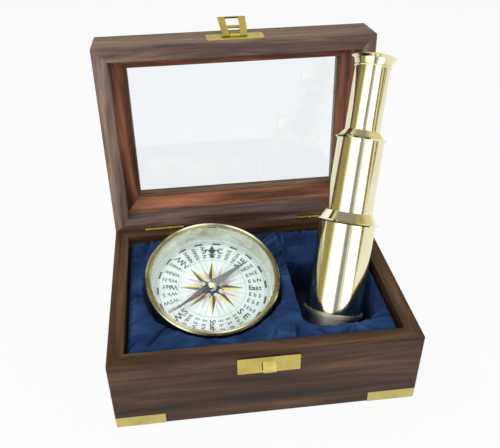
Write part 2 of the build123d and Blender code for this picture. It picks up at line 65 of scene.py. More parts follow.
hinge_point = joint_point("lid_hinge")
lid_open_angle = radians(joints["lid_hinge"]["range_deg"][1])
lid_turn = Matrix.Rotation(-lid_open_angle, 4, "X")
lid_matrix = Matrix.Translation(hinge_point) @ lid_turn @ Matrix.Translation(-hinge_point)

half_width, half_depth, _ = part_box("base_right_wall")[1]
front_wall_low, front_wall_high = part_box("base_front_wall")
rim_height = front_wall_high.z
wall = front_wall_high.y - front_wall_low.y

compass_axis = joint_axis("needle_spin")
bezel_centre = joint_point("needle_spin")
compass_x = Vector((1, 0, 0)) - compass_axis * compass_axis.x
compass_x.normalize()
compass_y = compass_axis.cross(compass_x)


def turned_size(node):
    """Lowest and highest level of a node along the compass axis, and its largest radius."""
    levels, radii = [], []
    for vertex in nodes[node].data.vertices:
        arm = vertex.co - bezel_centre
        levels.append(arm.dot(compass_axis))
        radii.append(arm.cross(compass_axis).length)
    return min(levels), max(levels), max(radii)


bezel_radius = turned_size("compass_bezel")[2]
case_bottom, _, case_radius = turned_size("compass_case")
_, dial_level, dial_radius = turned_size("compass_dial")
dial_centre = bezel_centre + compass_axis * dial_level


def plane_height(x, y, level):
    """Height over plan points of the plane across the compass axis at a level."""
    drop = compass_axis.x * (x - bezel_centre.x) + compass_axis.y * (y - bezel_centre.y)
    return bezel_centre.z + (level - drop) / compass_axis.z


def frame_matrix(origin, x_axis, y_axis, z_axis):
    """Matrix that takes local coordinates to the row frame."""
    turn = Matrix((x_axis, y_axis, z_axis)).transposed().to_4x4()
    return Matrix.Translation(origin) @ turn


dial_bearing = radians(-4.75)
dial_turn = Matrix.Rotation(dial_bearing, 4, "Z")
dial_matrix = frame_matrix(dial_centre, compass_x, compass_y, compass_axis) @ dial_turn


# Camera at the photograph's view

image_width = 500
image_height = 448
focal_pixels = 623.77
principal_x = 236.80
principal_y = 224.73
sensor_mm = 36.0
camera_place = Vector((-32.412, -239.772, 236.318)) * MM
camera_back = Vector((-0.08518, -0.82126, 0.56416)).normalized()
camera_roll = radians(-1.186)


def add_camera():
    level = Vector((0, 0, 1)).cross(camera_back).normalized()
    upward = camera_back.cross(level)
    right = level * cos(camera_roll) + upward * sin(camera_roll)
    up = camera_back.cross(right)
    data = bpy.data.cameras.new("camera")
    data.sensor_fit = "HORIZONTAL"
    data.sensor_width = sensor_mm
    data.lens = focal_pixels * sensor_mm / image_width
    data.shift_x = (image_width / 2 - principal_x) / image_width
    data.shift_y = (principal_y - image_height / 2) / image_width
    data.clip_start = 0.01
    data.clip_end = 20
    camera = bpy.data.objects.new("camera", data)
    camera.matrix_world = frame_matrix(camera_place, right, up, camera_back)
    bpy.context.scene.collection.objects.link(camera)
    bpy.context.scene.camera = camera


add_camera()


# Materials

def linear(red, green, blue):
    """Scene colour of an sRGB colour given as 0 to 255."""
    shares = []
    for value in (red, green, blue):
        share = value / 255
        shares.append(share / 12.92 if share <= 0.04045 else ((share + 0.055) / 1.055) ** 2.4)
    return (*shares, 1.0)


class Graph:
    """A node tree under construction: nodes are added and linked with short calls."""

    def __init__(self, tree):
        self.tree = tree

    def feed(self, socket, value):
        if isinstance(value, bpy.types.NodeSocket):
            self.tree.links.new(value, socket)
        else:
            socket.default_value = value

    def node(self, kind, inputs, **settings):
        made = self.tree.nodes.new(kind)
        for name, value in settings.items():
            setattr(made, name, value)
        for name, value in inputs.items():
            self.feed(made.inputs[name], value)
        return made

    def ramp(self, factor, *stops):
        made = self.node("ShaderNodeValToRGB", {"Fac": factor})
        points = made.color_ramp.elements
        while len(points) < len(stops):
            points.new(0.5)
        for point, (place, colour) in zip(points, stops):
            point.position = place
            point.color = colour
        return made.outputs["Color"]

    def span(self, value, low, high, to_low=0.0, to_high=1.0, **settings):
        """The value taken from one range to another."""
        inputs = {"Value": value, "From Min": low, "From Max": high}
        inputs.update({"To Min": to_low, "To Max": to_high})
        return self.node("ShaderNodeMapRange", inputs, **settings).outputs["Result"]

    def mix(self, factor, first, second):
        made = self.node("ShaderNodeMix", {}, data_type="RGBA")
        self.feed(made.inputs["Factor"], factor)
        self.feed(made.inputs[6], first)
        self.feed(made.inputs[7], second)
        return made.outputs[2]

    def math(self, operation, first, second=0.0):
        made = self.node("ShaderNodeMath", {}, operation=operation)
        self.feed(made.inputs[0], first)
        self.feed(made.inputs[1], second)
        return made.outputs[0]

    def vector(self, operation, *values):
        """Outputs of a vector operation: Vector, and Value where the result is one number."""
        made = self.node("ShaderNodeVectorMath", {}, operation=operation)
        for socket, value in zip(made.inputs, values):
            self.feed(socket, value)
        return made.outputs

    def blend(self, share, first, second):
        """Mix of two shaders."""
        made = self.node("ShaderNodeMixShader", {"Fac": share})
        self.feed(made.inputs[1], first)
        self.feed(made.inputs[2], second)
        return made.outputs["Shader"]


class Shader(Graph):
    """A material under construction."""

    def __init__(self, name):
        self.material = bpy.data.materials.new(name)
        self.material.use_nodes = True
        super().__init__(self.material.node_tree)
        self.surface = self.tree.nodes["Principled BSDF"]
        self.output = self.tree.nodes["Material Output"]

    def set(self, **values):
        for name, value in values.items():
            self.feed(self.surface.inputs[name.replace("_", " ")], value)

    def show(self, shader):
        """Gives the material a shader of its own in place of the plain surface."""
        self.feed(self.output.inputs["Surface"], shader)

    def place(self):
        """The surface point in the piece's own coordinates, in metres."""
        return self.node("ShaderNodeTexCoord", {}).outputs["Object"]

    def mapped(self, point, scale=(1, 1, 1), turn=(0, 0, 0), shift=(0, 0, 0)):
        """The point scaled, then turned, then shifted."""
        inputs = {"Vector": point, "Scale": scale, "Rotation": turn, "Location": shift}
        return self.node("ShaderNodeMapping", inputs).outputs["Vector"]

    def noise(self, point, scale, detail=3.0, roughness=0.5, distortion=0.0):
        inputs = {"Vector": point, "Scale": scale, "Detail": detail, "Roughness": roughness}
        inputs["Distortion"] = distortion
        return self.node("ShaderNodeTexNoise", inputs).outputs["Fac"]

    def bump(self, height, distance, strength=1.0):
        inputs = {"Height": height, "Distance": distance, "Strength": strength}
        return self.node("ShaderNodeBump", inputs).outputs["Normal"]


# Grain: scale of each kind of mark along the board and across it, and how far drift bends streaks
drift_grain = (10, 60, 60)
drift_push = (0.6, 3.0, 3.0)
streak_grain = (14, 260, 260)
broad_grain = (7, 34, 34)
pore_grain = (70, 1700, 1700)
streak_share = 0.62
streak_band = 0.17
pore_darkness = 0.35


def wood(name, colours, grain_turn=0.0, tilt=0.0, seed=0.0, contrast=1.15):
    """Oiled hardwood. Its grain runs along X, or along Y with a grain turn of 90 degrees.

    The tilt is about X, and gives a leaning piece upright coordinates of its own.
    """
    shader = Shader(name)
    upright = shader.mapped(shader.place(), turn=(tilt, 0, 0))
    point = shader.mapped(upright, turn=(0, 0, grain_turn), shift=(seed, seed, seed))
    drift = shader.noise(shader.mapped(point, drift_grain), 1.0, 2.0)
    board = shader.mapped(point, streak_grain)
    wavy = shader.vector("MULTIPLY_ADD", drift, drift_push, board)["Vector"]
    streaks = shader.noise(wavy, 1.0, 4.0, 0.55)
    broad = shader.noise(shader.mapped(point, broad_grain), 1.0, 2.0, 0.5, 0.6)
    fine = shader.noise(shader.mapped(point, pore_grain), 1.0, 2.0, 0.6)
    tone = shader.math(
        "ADD",
        shader.math("MULTIPLY", streaks, streak_share),
        shader.math("MULTIPLY", broad, 1 - streak_share),
    )
    dark, middle, pale = colours
    band = streak_band / contrast
    colour = shader.ramp(tone, (0.5 - band, dark), (0.5, middle), (0.5 + band, pale))
    pores = shader.span(fine, 0.60, 0.74, 0.0, 0.55)
    pore_colour = (*(share * pore_darkness for share in dark[:3]), 1.0)
    height = shader.math("SUBTRACT", shader.math("MULTIPLY", streaks, 0.4), pores)
    shader.set(
        Base_Color=shader.mix(pores, colour, pore_colour),
        Roughness=shader.span(streaks, 0.3, 0.7, 0.4, 0.55),
        Normal=shader.bump(height, 0.00012, 0.6),
        Specular_IOR_Level=0.25,
    )
    return shader.material


front_colours = (linear(40, 26, 18), linear(70, 49, 35), linear(108, 80, 57))
rim_colours = (linear(58, 42, 32), linear(100, 82, 64), linear(142, 122, 96))
lid_colours = (linear(58, 44, 40), linear(104, 84, 76), linear(154, 130, 114))
bead_colours = (linear(58, 32, 24), linear(110, 68, 52), linear(168, 112, 84))


def brass(name, colour, dull, roughness, wear_scale, dent=0.00002):
    """Lacquered brass with faint cloudy tarnish and fine handling marks."""
    shader = Shader(name)
    point = shader.place()
    cloud = shader.noise(point, wear_scale, 4.0, 0.6)
    speck = shader.noise(point, wear_scale * 14, 2.0, 0.5)
    marks = shader.math("ADD", cloud, shader.math("MULTIPLY", speck, 0.3))
    stain = shader.span(cloud, 0.48, 0.72, 0.0, 0.65)
    shader.set(
        Base_Color=shader.mix(stain, colour, dull),
        Metallic=1.0,
        Roughness=shader.span(cloud, 0.35, 0.7, roughness * 0.8, roughness * 1.5),
        Normal=shader.bump(marks, dent, 0.5),
    )
    return shader.material


def tube_brass():
    """Drawn and polished tube, nearly a mirror, with fine upright rub marks."""
    shader = Shader("polished_tube_brass")
    point = shader.place()
    cloud = shader.noise(point, 55.0, 3.0)
    rub = shader.noise(shader.mapped(point, (900, 900, 60)), 1.0, 2.0)
    stain = shader.span(cloud, 0.45, 0.75, 0.0, 0.6)
    shader.set(
        Base_Color=shader.mix(stain, linear(240, 233, 198), linear(226, 214, 166)),
        Metallic=1.0,
        Roughness=shader.span(rub, 0.3, 0.75, 0.09, 0.17),
        Normal=shader.bump(rub, 0.000006, 0.35),
    )
    return shader.material


def glass(name, tint, roughness):
    """Clear glass that lets lamplight through to what is under it."""
    shader = Shader(name)
    smear = shader.noise(shader.place(), 38.0, 3.0, 0.6)
    shader.set(
        Base_Color=tint,
        Transmission_Weight=1.0,
        Roughness=shader.span(smear, 0.45, 0.75, roughness, roughness + 0.05),
        IOR=1.45,
    )
    see_through = shader.node("ShaderNodeBsdfTransparent", {"Color": tint})
    path = shader.node("ShaderNodeLightPath", {})
    shader.show(shader.blend(
        path.outputs["Is Shadow Ray"], shader.surface.outputs["BSDF"], see_through.outputs["BSDF"]
    ))
    return shader.material


def velvet():
    """Blue pile, patchy where it was brushed, with lint on it, and with painted shade darkening it
    down in the trough.
    """
    shader = Shader("blue_velvet")
    point = shader.place()
    brushed = shader.noise(point, 75.0, 3.0, 0.55, 0.5)
    pile = shader.noise(point, 2600.0, 2.0, 0.7)
    lint = shader.noise(shader.mapped(point, shift=(0.3, 0.1, 0.2)), 1500.0, 1.0, 0.5)
    colour = shader.ramp(
        brushed,
        (0.30, linear(24, 41, 75)),
        (0.52, linear(38, 63, 106)),
        (0.72, linear(54, 84, 129)),
    )
    colour = shader.mix(shader.span(pile, 0.3, 0.7, 0.0, 0.35), colour, linear(20, 32, 60))
    # Painted shade: the colour darkens with depth towards the trough floor, standing in for the
    # shadow there
    level = shader.node("ShaderNodeSeparateXYZ", {"Vector": point}).outputs["Z"]
    painted_trough_shade = shader.span(level, shade_top, shade_bottom, 0.0, 0.8)
    colour = shader.mix(painted_trough_shade, colour, linear(22, 18, 22))
    colour = shader.mix(shader.span(lint, 0.78, 0.84, 0.0, 0.5), colour, linear(120, 140, 170))
    shader.set(
        Base_Color=colour,
        Roughness=shader.span(pile, 0.3, 0.7, 0.85, 0.98),
        Sheen_Weight=0.3,
        Sheen_Roughness=0.45,
        Sheen_Tint=linear(84, 116, 172),
        Specular_IOR_Level=0.12,
        Normal=shader.bump(pile, 0.00015, 0.5),
    )
    return shader.material


def printed(name, colour, worn, scale=260.0):
    """Printing ink or paper with slight unevenness."""
    shader = Shader(name)
    mottle = shader.noise(shader.place(), scale, 3.0, 0.55)
    shader.set(
        Base_Color=shader.mix(shader.span(mottle, 0.35, 0.75), colour, worn),
        Roughness=shader.span(mottle, 0.3, 0.7, 0.5, 0.62),
        Normal=shader.bump(mottle, 0.00001, 0.3),
    )
    return shader.material


def paint(node, material):
    mesh = nodes[node].data
    mesh.materials.clear()
    mesh.materials.append(material)


grain_turns = {"front": 0.0, "back": 0.0, "left": radians(90), "right": radians(90)}


def paint_wood():
    """Every board has its grain along its own length and its own part of the tree."""
    lean = lid_open_angle
    for index, (side, turn) in enumerate(grain_turns.items()):
        seed = 0.37 * (index + 1)
        paint(f"base_{side}_wall", wood(f"base_wood_{side}", front_colours, turn, 0.0, seed))
        paint(f"lid_{side}_wall", wood(f"lid_wood_{side}", lid_colours, turn, lean, seed + 1.9))
        rail = wood(f"rail_wood_{side}", rim_colours, turn, lean, seed + 3.1)
        paint(f"lid_top_{side}_rail", rail)
        bead = wood(f"bead_wood_{side}", bead_colours, turn, lean, seed + 5.3, 1.4)
        paint(f"glass_bead_{side}", bead)
    paint("base_floor", wood("floor_wood", front_colours, 0.0, 0.0, 4.4))


paint_wood()

fitting_brass = brass("fitting_brass", linear(200, 184, 103), linear(168, 144, 72), 0.22, 130.0)
strap_brass = brass("strap_brass", linear(200, 186, 114), linear(172, 155, 90), 0.34, 90.0)
bezel_brass = brass("bezel_brass", linear(204, 200, 164), linear(164, 151, 108), 0.24, 150.0)
cell_brass = brass("cell_brass", linear(240, 236, 218), linear(214, 206, 176), 0.42, 90.0)
tube_finish = tube_brass()
pane_glass = glass("pane_glass", linear(245, 249, 251), 0.01)
lens_glass = glass("lens_glass", linear(225, 236, 236), 0.0)

for node in nodes:
    if node.startswith("corner_strap"):
        paint(node, strap_brass)
    elif node.startswith(("hinge", "latch", "catch")):
        paint(node, fitting_brass)
for node in ("compass_bezel", "needle_cap", "needle_pivot"):
    paint(node, bezel_brass)
for node in ("telescope_barrel", "draw_1_tube", "draw_2_tube", "eye_cup"):
    paint(node, tube_finish)
paint("objective_cell", cell_brass)
paint("lid_glass", pane_glass)
paint("compass_glass", pane_glass)
paint("objective_lens", lens_glass)
paint("eye_lens", lens_glass)


def case_finish():
    """Brass outside, and a pale lacquer on the inside of the wall, dulled in patches."""
    shader = Shader("case_finish")
    point = shader.place()
    arm = shader.vector("SUBTRACT", point, bezel_centre)["Vector"]
    across = shader.vector("CROSS_PRODUCT", arm, compass_axis)["Vector"]
    reach = shader.vector("LENGTH", across)["Value"]
    middle = (dial_radius + case_radius) / 2
    outside = shader.span(reach, middle - 0.1 * MM, middle + 0.1 * MM)
    cloud = shader.noise(point, 120.0, 4.0, 0.6, 0.8)
    lacquer = shader.ramp(
        cloud,
        (0.32, linear(176, 174, 140)),
        (0.5, linear(212, 212, 190)),
        (0.68, linear(228, 230, 214)),
    )
    shader.set(
        Base_Color=shader.mix(outside, lacquer, linear(206, 180, 104)),
        Metallic=shader.span(outside, 0.0, 1.0, 0.25, 1.0),
        Roughness=shader.span(cloud, 0.3, 0.7, 0.28, 0.42),
        Normal=shader.bump(cloud, 0.00004, 0.5),
    )
    return shader.material


def dial_paper():
    """Printed card, greenish white with slightly yellower patches."""
    shader = Shader("dial_paper")
    mottle = shader.noise(shader.place(), 140.0, 4.0, 0.6)
    tone = shader.mix(shader.span(mottle, 0.4, 0.75), linear(212, 219, 214), linear(198, 202, 188))
    shader.set(Base_Color=tone, Roughness=shader.span(mottle, 0.3, 0.7, 0.5, 0.6))
    return shader.material


def needle_paint():
    """Blued steel: nearly black on one half and worn grey on the other."""
    shader = Shader("needle_paint")
    point = shader.place()
    arm = shader.vector("SUBTRACT", point, dial_centre)["Vector"]
    along = shader.vector("DOT_PRODUCT", arm, needle_direction)["Value"]
    half = shader.span(along, -0.5 * MM, 0.5 * MM)
    grain = shader.noise(point, 700.0, 3.0)
    dark = shader.mix(grain, linear(22, 24, 22), linear(40, 42, 38))
    grey = shader.mix(grain, linear(66, 68, 66), linear(128, 130, 126))
    shader.set(
        Base_Color=shader.mix(half, dark, grey),
        Metallic=0.4,
        Roughness=shader.span(grain, 0.3, 0.7, 0.35, 0.5),
    )
    return shader.material


needle_bearing = radians(55.8)
needle_direction = compass_x * sin(needle_bearing) + compass_y * cos(needle_bearing)
paint("compass_dial", dial_paper())
paint("compass_case", case_finish())
paint("compass_needle", needle_paint())


# Pieces made here

def mesh_object(name, vertices, faces, material, smooth=False):
    mesh = bpy.data.meshes.new(name)
    mesh.from_pydata([tuple(v) for v in vertices], [], faces)
    mesh.materials.append(material)
    if smooth:
        mesh.polygons.foreach_set("use_smooth", [True] * len(mesh.polygons))
    mesh.update()
    piece = bpy.data.objects.new(name, mesh)
    bpy.context.scene.collection.objects.link(piece)
    return piece


def joined(name, parts, material, matrix):
    """One object from (vertices, faces) parts in local coordinates."""
    vertices, faces = [], []
    for part_vertices, part_faces in parts:
        start = len(vertices)
        vertices += [matrix @ Vector(v) for v in part_vertices]
        faces += [[start + i for i in face] for face in part_faces]
    return mesh_object(name, vertices, faces, material)


# Velvet lining

wall_clearance = 0.3 * MM
inner_half_width = half_width - wall - wall_clearance
inner_half_depth = half_depth - wall - wall_clearance
lining_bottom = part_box("velvet_lining")[0].z
lining_top = rim_height - 2.6 * MM
cloth_step = 0.6 * MM

# Padding: its swell, slow wander, creases and fine wrinkles. Noise scales are per metre.
swell_height = 0.8 * MM
swell_reach = 10.0 * MM
wander_height = 0.5 * MM
wander_scale, wander_seed = 55, 3.1
crease_height = 1.6 * MM
wrinkle_height = 0.22 * MM
wrinkle_scale, wrinkle_seed = 190, 8.7
edge_roll = 3.6 * MM
edge_drop = 8.0 * MM

# Pocket of the compass, with its bolster and a wider gap at two places. Bearings are in degrees.
pocket_floor = case_bottom - 0.3 * MM
pocket_floor_drop = 0.1 * MM
pocket_gap = 0.2 * MM
pocket_gap_left, gap_left_bearing = 2.0 * MM, 232
pocket_gap_right, gap_right_bearing = 1.3 * MM, 116
pocket_gap_spread = 22
pocket_pucker = 0.2 * MM
pucker_count = 26
pucker_wander = 3
pocket_lip = 1.1 * MM
bolster_level = pocket_floor + 3.4 * MM
bolster_brim = 2.5 * MM
bolster_slope = 0.9
bolster_limit = lining_top + 5.2 * MM
bolster_limit_slope = 0.4
bolster_blend = 2.5 * MM
pressed_level = -0.7 * MM
pressed_slope = 0.6
pressed_wander = 0.3 * MM
pressed_blend = 1.2 * MM
bunch_middle = 5.0 * MM
bunch_reach = 7.0 * MM
bunch_rise = 0.6 * MM
bunch_height = 1.3 * MM
bunch_bearing, bunch_spread = 45, 26
bunch_scale, bunch_seed, bunch_stretch = 150, 5.2, 1.6

# Trough of the telescope: its deep front part and the loose velvet in its rear part
trough_centre_x = 39.2 * MM
trough_half_width = 17.4 * MM
trough_rear = 35.5 * MM
trough_front = -33.0 * MM
trough_middle = (trough_front + trough_rear) / 2
trough_corner = 6.0 * MM
trough_front_right_corner = 15.0 * MM
trough_floor = 11.3 * MM
trough_lip = 3.2 * MM
trough_lip_power = 0.55
rear_start = 16.5 * MM
rear_rise = 5.0 * MM
rear_wander = 2.0 * MM
rear_floor = 30.5 * MM
rear_floor_wander = 0.8 * MM
rear_sag = 1.2 * MM
rear_sag_reach = 8.0 * MM
pleat_height = 0.5 * MM
pleat_reach = 6.0 * MM
pleat_frequency = 1000
pleat_slant = 0.6
pleat_wander = 5
pleat_rise = 0.6
lip_pleat = 0.5

# Painted shade: the velvet's colour darkens between these levels, deepest down in the trough
shade_top = trough_floor + 17 * MM
shade_bottom = trough_floor + 5 * MM


def smooth_step(value):
    value = np.clip(value, 0, 1)
    return value * value * (3 - 2 * value)


def blend_low(a, b, reach):
    """The lower of two heights, rounded where they cross."""
    share = np.clip(0.5 + 0.5 * (b - a) / reach, 0, 1)
    return b * (1 - share) + a * share - reach * share * (1 - share)


def blend_high(a, b, reach):
    return -blend_low(-a, -b, reach)


def field(x, y, scale, seed):
    """Smooth noise over the plan, from about -1 to 1."""
    flat = [noise.noise(Vector((a * scale, b * scale, seed))) for a, b in zip(x.ravel(), y.ravel())]
    return np.array(flat).reshape(x.shape)


def crease(x, y, start, end, width, depth):
    """A valley along a line, deepest in its middle, with a soft ridge on each side."""
    along = Vector(end) - Vector(start)
    t = ((x - start[0]) * along.x + (y - start[1]) * along.y) / along.length_squared
    t_in = np.clip(t, 0, 1)
    away = np.hypot(x - start[0] - along.x * t_in, y - start[1] - along.y * t_in) / width
    fade = np.sqrt(np.clip(1.1 - np.abs(2 * t_in - 1), 0, 1))
    return depth * fade * (0.45 * np.exp(-((away - 1.9) / 1.1) ** 2) - np.exp(-away ** 2))


def compass_reach(x, y, z):
    """Distance of plan points at a height from the compass axis."""
    dx, dy, dz = x - bezel_centre.x, y - bezel_centre.y, z - bezel_centre.z
    along = dx * compass_axis.x + dy * compass_axis.y + dz * compass_axis.z
    return np.sqrt(np.maximum(dx * dx + dy * dy + dz * dz - along * along, 0))


def hump(angle, centre, spread):
    """A bump over bearings in degrees, from 0 to 1."""
    away = (angle - centre + 180) % 360 - 180
    return np.exp(-(away / spread) ** 2)


def padded_top(x, y, edge, wander):
    """Padding that swells away from the walls, creased and finely wrinkled."""
    top = lining_top + swell_height * smooth_step(edge / swell_reach) + wander_height * wander
    for start, end, width, depth in lining_creases:
        start, end = [v * MM for v in start], [v * MM for v in end]
        top = top + crease(x, y, start, end, width * MM, crease_height * depth)
    return top + wrinkle_height * field(x, y, wrinkle_scale, wrinkle_seed)


def bolstered(top, x, y, bearing, past, wander):
    """The top bunched up behind the compass, raised into its bolster and pressed down by it."""
    folds = field(x * bunch_stretch, y, bunch_scale, bunch_seed)
    behind = hump(bearing, bunch_bearing, bunch_spread)
    behind = behind * smooth_step(1 - np.abs(past - bunch_middle) / bunch_reach)
    top = top + behind * (bunch_rise + bunch_height * folds)
    shoulder = plane_height(x, y, bolster_level)
    shoulder = shoulder - bolster_slope * np.maximum(past - bolster_brim, 0)
    limit = bolster_limit - bolster_limit_slope * np.maximum(past, 0)
    shoulder = np.minimum(shoulder, limit) + wander_height * wander
    top = blend_high(top, shoulder, bolster_blend)
    pressed = plane_height(x, y, pressed_level) + pressed_slope * past + pressed_wander * wander
    return blend_low(top, pressed, pressed_blend)


def with_pocket(top, x, y, bearing, wander):
    """The top with the compass pocket sunk into it."""
    floor = plane_height(x, y, pocket_floor) - pocket_floor_drop
    reach = np.minimum(compass_reach(x, y, top), compass_reach(x, y, floor))
    gap = pocket_gap + pocket_gap_left * hump(bearing, gap_left_bearing, pocket_gap_spread)
    gap = gap + pocket_gap_right * hump(bearing, gap_right_bearing, pocket_gap_spread)
    phase = np.radians(bearing) * pucker_count + pucker_wander * wander
    pucker = pocket_pucker * np.sin(phase)
    share = smooth_step((reach - bezel_radius - gap + pucker) / pocket_lip)
    return np.minimum(floor, top) * (1 - share) + top * share


def trough_distance(x, y):
    """Distance outside the trough's rounded outline, negative inside it."""
    front_right = (x > trough_centre_x) & (y < trough_middle)
    corner = np.where(front_right, trough_front_right_corner, trough_corner)
    across = np.abs(x - trough_centre_x) - (trough_half_width - corner)
    lengthwise = np.abs(y - trough_middle) - (trough_rear - trough_middle - corner)
    outside = np.hypot(np.maximum(across, 0), np.maximum(lengthwise, 0))
    return outside + np.minimum(np.maximum(across, lengthwise), 0) - corner


def with_trough(top, x, y, wander):
    """The top with the telescope's trough sunk into it and its lip pleated."""
    off = trough_distance(x, y)
    phase = (x + pleat_slant * y) * pleat_frequency + pleat_wander * wander
    pleat = pleat_height * np.sin(phase)
    pleat = pleat * smooth_step(1 - np.abs(off) / pleat_reach)
    share = smooth_step((off + lip_pleat * pleat) / trough_lip) ** trough_lip_power
    rear = smooth_step((y - rear_start + rear_wander * wander) / rear_rise)
    sag = rear_floor + rear_floor_wander * wander - rear_sag * smooth_step(-off / rear_sag_reach)
    depth = trough_floor + (sag - trough_floor) * rear
    return depth + (top + pleat_rise * pleat - depth) * share


def lining_height(x, y):
    """Height of the velvet over the plan."""
    edge = np.minimum(inner_half_width - np.abs(x), inner_half_depth - np.abs(y))
    wander = field(x, y, wander_scale, wander_seed)
    bearing = np.degrees(np.arctan2(x - bezel_centre.x, y - bezel_centre.y)) % 360
    past = compass_reach(x, y, lining_top) - bezel_radius
    top = bolstered(padded_top(x, y, edge, wander), x, y, bearing, past, wander)
    roll = 1 - np.clip(edge / edge_roll, 0, 1)
    top = top - edge_drop * (1 - np.sqrt(np.clip(1 - roll ** 2, 0, 1)))
    return with_trough(with_pocket(top, x, y, bearing, wander), x, y, wander)


# Creases seen in the photograph: start, end, width and depth in millimetres on the plan
lining_creases = [
    ((-52, -38), (-43, -26), 0.9, 1.7),
    ((-63, -2), (-52, -5), 0.7, 1.1),
    ((-63, -10), (-57, -8), 0.8, 1.2),
    ((-63, -24), (-52, -19), 0.8, 1.1),
    ((-63, -40), (-56, -34), 0.8, 1.3),
    ((-32, -43), (-28, -36), 0.8, 1.0),
    ((-11, -32), (-7, -43), 0.8, 1.5),
    ((3, -43), (7, -33), 0.8, 1.0),
    ((16, -33), (15, -42), 0.8, 1.8),
    ((13, -22), (21, -27), 0.8, 1.5),
    ((12, -19), (20, -19), 0.7, 1.0),
    ((14, -7), (22, -8), 0.7, 1.2),
    ((15, 3), (22, 3), 0.7, 1.0),
    ((14, 9), (22, 14), 0.8, 1.3),
    ((12, 16), (21, 22), 0.9, 1.6),
    ((8, 21), (20, 34), 0.9, 1.8),
    ((3, 27), (17, 42), 0.9, 1.8),
    ((-6, 32), (6, 43), 0.9, 1.5),
    ((20, 20), (19, 42), 0.9, 2.2),
    ((-50, 22), (-63, 32), 1.0, 1.5),
    ((-53, 24), (-52, 42), 1.2, 2.6),
    ((-44, 30), (-49, 42), 1.0, 1.3),
    ((22, -36), (31, -42), 0.8, 1.3),
    ((35, -43), (41, -37), 0.8, 1.6),
    ((45, -37), (54, -42), 0.9, 1.5),
    ((50, -34), (62, -32), 0.8, 1.3),
    ((54, -20), (63, -18), 0.8, 1.0),
    ((58, -8), (63, -5), 0.8, 1.0),
    ((58, 14), (63, 18), 0.8, 1.0),
    ((33, 37), (31, 43), 0.9, 1.3),
    ((46, 37), (48, 43), 0.9, 1.3),
]


def add_lining():
    columns = int(2 * inner_half_width / cloth_step) + 1
    rows = int(2 * inner_half_depth / cloth_step) + 1
    xs = np.linspace(-inner_half_width, inner_half_width, columns)
    ys = np.linspace(-inner_half_depth, inner_half_depth, rows)
    x, y = np.meshgrid(xs, ys)
    z = lining_height(x, y)
    vertices = np.stack([x, y, z], axis=-1).reshape(-1, 3).tolist()
    faces = []
    for row in range(rows - 1):
        for column in range(columns - 1):
            corner = row * columns + column
            faces.append((corner, corner + 1, corner + columns + 1, corner + columns))
    rim = (
        list(range(columns))
        + [r * columns + columns - 1 for r in range(1, rows)]
        + [(rows - 1) * columns + c for c in range(columns - 2, -1, -1)]
        + [r * columns for r in range(rows - 2, 0, -1)]
    )
    start = len(vertices)
    vertices += [(vertices[i][0], vertices[i][1], lining_bottom) for i in rim]
    count = len(rim)
    for i in range(count):
        following = (i + 1) % count
        faces.append((rim[i], start + i, start + following, rim[following]))
    faces.append([start + i for i in reversed(range(count))])
    lining = mesh_object("lining_velvet", vertices, faces, velvet(), smooth=True)
    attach(lining, "base")
    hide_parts("velvet_lining")


add_lining()


# Compass card: rings, marks, rose and names, printed just above the dial

ink_lift = 0.03 * MM
ink_thickness = 0.02 * MM
ink = printed("dial_ink", linear(24, 30, 34), linear(52, 60, 66))
fine_ink = printed("dial_fine_ink", linear(84, 94, 100), linear(128, 138, 144))
rose_yellow = printed("rose_yellow", linear(206, 182, 58), linear(226, 202, 88))
rose_orange = printed("rose_orange", linear(208, 142, 78), linear(224, 172, 112))
rose_blue = printed("rose_blue", linear(158, 172, 222), linear(188, 200, 236))


# Radii and line widths of the print, in millimetres
fine_line = 0.16
degree_ring_inner, degree_ring_outer = 28.5, 30.5
tick_start, short_tick, long_tick = 28.6, 1.1, 1.9
bar_line = 0.15
bar_inner, bar_outer = 26.75, 27.75
rose_ring = 17.0
rose_ray_start = 6.6
rose_ray_width = 0.13
main_base, main_tip, main_spread = 7.0, 16.2, 14.5
minor_base, minor_tip, minor_spread = 7.1, 14.5, 11.5
point_waist = 0.62
hub_ring, hub_line = 6.3, 0.25
hub_disc_inner, hub_disc_outer = 2.2, 3.6
hub_arm_start = 3.4
main_arm_end, main_arm_width = 6.0, 1.7
minor_arm_end, minor_arm_width = 6.4, 1.5
hub_arc_inner, hub_arc_outer, hub_arc_spread = 5.4, 6.4, 22
point_angle = 11.25


def polar(radius, bearing):
    """Point on the dial in metres; the bearing runs clockwise from north, in degrees."""
    return (radius * MM * sin(radians(bearing)), radius * MM * cos(radians(bearing)))


def slab(outline, level=0.0):
    """Thin prism of a convex outline on the dial."""
    count = len(outline)
    low = ink_lift + level
    high = low + ink_thickness
    vertices = [(x, y, low) for x, y in outline] + [(x, y, high) for x, y in outline]
    faces = [list(reversed(range(count))), [count + i for i in range(count)]]
    for i in range(count):
        following = (i + 1) % count
        faces.append([i, following, count + following, count + i])
    return vertices, faces


def sector(inner, outer, start, end):
    return slab([polar(inner, start), polar(outer, start), polar(outer, end), polar(inner, end)])


def ring(inner, outer, steps=96):
    width = 360 / steps
    return [sector(inner, outer, i * width, (i + 1) * width + 0.01) for i in range(steps)]


def ray(inner, outer, bearing, width):
    """Line of a given width in millimetres along a bearing."""
    half = width / 2 * MM
    side = (cos(radians(bearing)) * half, -sin(radians(bearing)) * half)
    near, far = polar(inner, bearing), polar(outer, bearing)
    return slab([
        (near[0] - side[0], near[1] - side[1]),
        (near[0] + side[0], near[1] + side[1]),
        (far[0] + side[0], far[1] + side[1]),
        (far[0] - side[0], far[1] - side[1]),
    ])


def half_point(base, tip, bearing, spread, side, level=0.0):
    """One half of a star point: from the hub out to its tip, on one side of its middle line."""
    shoulder = polar(base, bearing + side * spread)
    return slab([polar(base * point_waist, bearing), shoulder, polar(tip, bearing)], level)


def add_print(name, parts, material):
    piece = joined(name, parts, material, dial_matrix)
    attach(piece, "compass")


